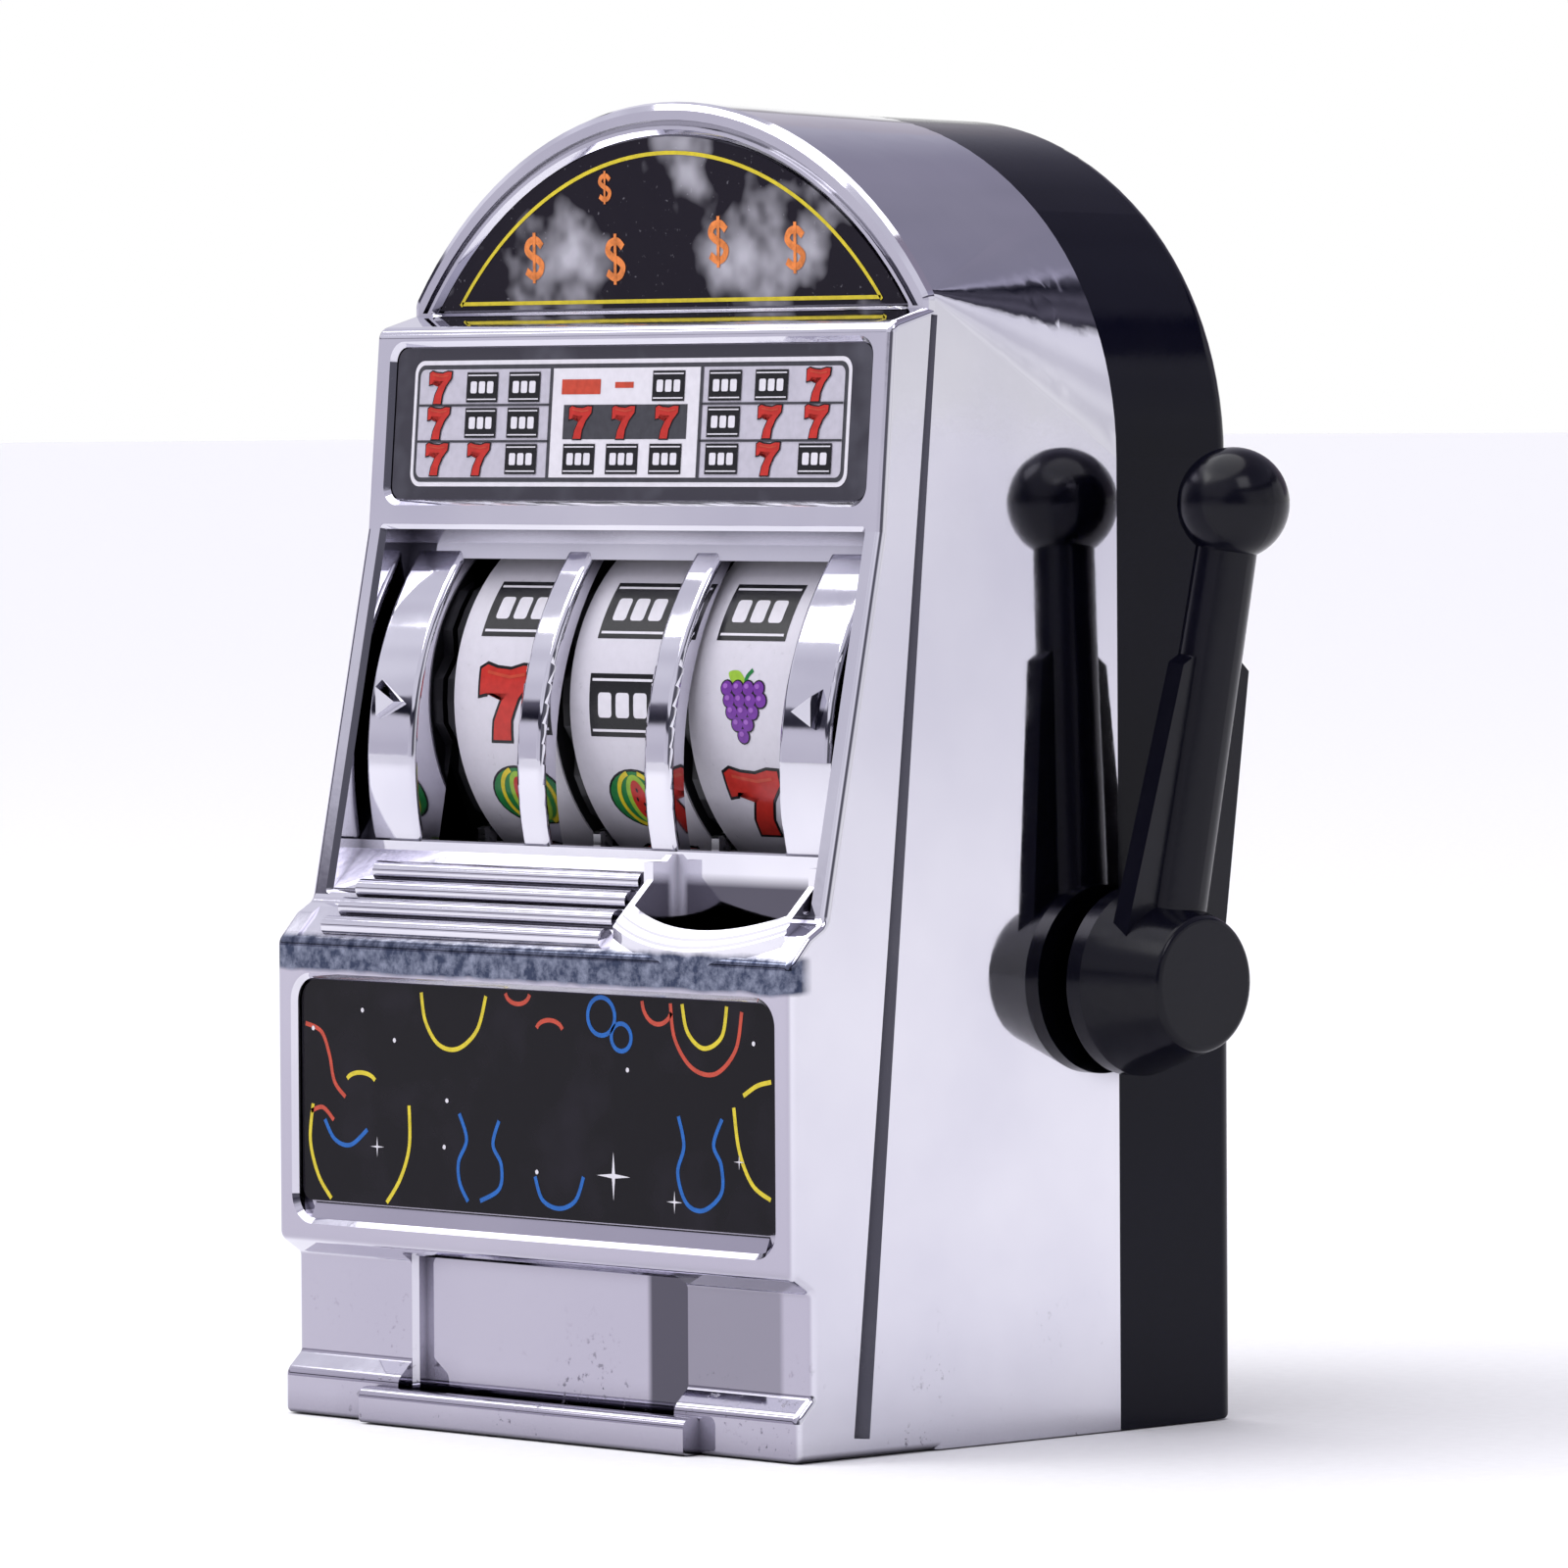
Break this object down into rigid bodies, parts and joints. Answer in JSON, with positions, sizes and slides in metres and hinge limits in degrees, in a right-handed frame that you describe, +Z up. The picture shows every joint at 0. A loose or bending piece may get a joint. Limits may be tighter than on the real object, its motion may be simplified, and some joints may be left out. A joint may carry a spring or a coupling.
{
  "type": "miniature slot machine",
  "caption": "Desk-top toy fruit machine: plated front shell with arched top, black rear shell, printed reels behind a barred window, sprung side lever.",
  "frame": {"origin": "centre of the flat base, on the surface it stands on", "axes": "+Z up; the front with the reels faces -Y; +X is the lever side, the viewer's right"},
  "size_m": [0.0615, 0.0425, 0.088],
  "materials": {
    "plating": "vacuum-plated plastic, mirror bright",
    "black_shell": "gloss black moulding",
    "marquee_print": "gloss printed sticker",
    "paytable_print": "gloss printed sticker",
    "belly_print": "gloss printed sticker",
    "reel_black": "moulded drum",
    "strip_print": "printed strip",
    "steel": "drawn rod",
    "nylon": "washer",
    "frame_grey": "moulded frame",
    "spring_steel": "stamped leaf comb",
    "lever_black": "gloss black moulding"
  },
  "bodies": {
    "cabinet": {"front_shell": "plating", "rear_shell": "black_shell", "marquee_label": "marquee_print", "paytable_label": "paytable_print", "belly_label": "belly_print", "reel_axle": "steel", "reel_spacers": "nylon", "axle_clips": "steel", "mechanism_frame": "frame_grey", "detent_spring": "spring_steel", "return_spring": "spring_steel", "rear_screws": "steel", "frame_screws": "steel"},
    "lever": {"lever": "lever_black", "lever_shaft": "steel", "kicker": "nylon"},
    "reel_left": {"reel_drum_left": "reel_black", "reel_strip_left": "strip_print"},
    "reel_centre": {"reel_drum_centre": "reel_black", "reel_strip_centre": "strip_print"},
    "reel_right": {"reel_drum_right": "reel_black", "reel_strip_right": "strip_print"}
  },
  "joints": [
    {"name": "lever_pull", "type": "hinge", "parent": "cabinet", "child": "lever", "pos_m": [0.0295, 0.0091, 0.0298], "axis": [1, 0, 0], "range_deg": [0, 58], "stiffness_Nm_per_rad": 0.012, "springref_deg": -34.38, "deforming": ["return_spring"]},
    {"name": "reel_spin_left", "type": "hinge", "parent": "cabinet", "child": "reel_left", "pos_m": [-0.0115, 0.0002, 0.048], "axis": [1, 0, 0], "continuous": true, "deforming": ["detent_spring"]},
    {"name": "reel_spin_centre", "type": "hinge", "parent": "cabinet", "child": "reel_centre", "pos_m": [0, 0.0002, 0.048], "axis": [1, 0, 0], "continuous": true, "deforming": ["detent_spring"]},
    {"name": "reel_spin_right", "type": "hinge", "parent": "cabinet", "child": "reel_right", "pos_m": [0.0115, 0.0002, 0.048], "axis": [1, 0, 0], "continuous": true, "deforming": ["detent_spring"]}
  ]
}
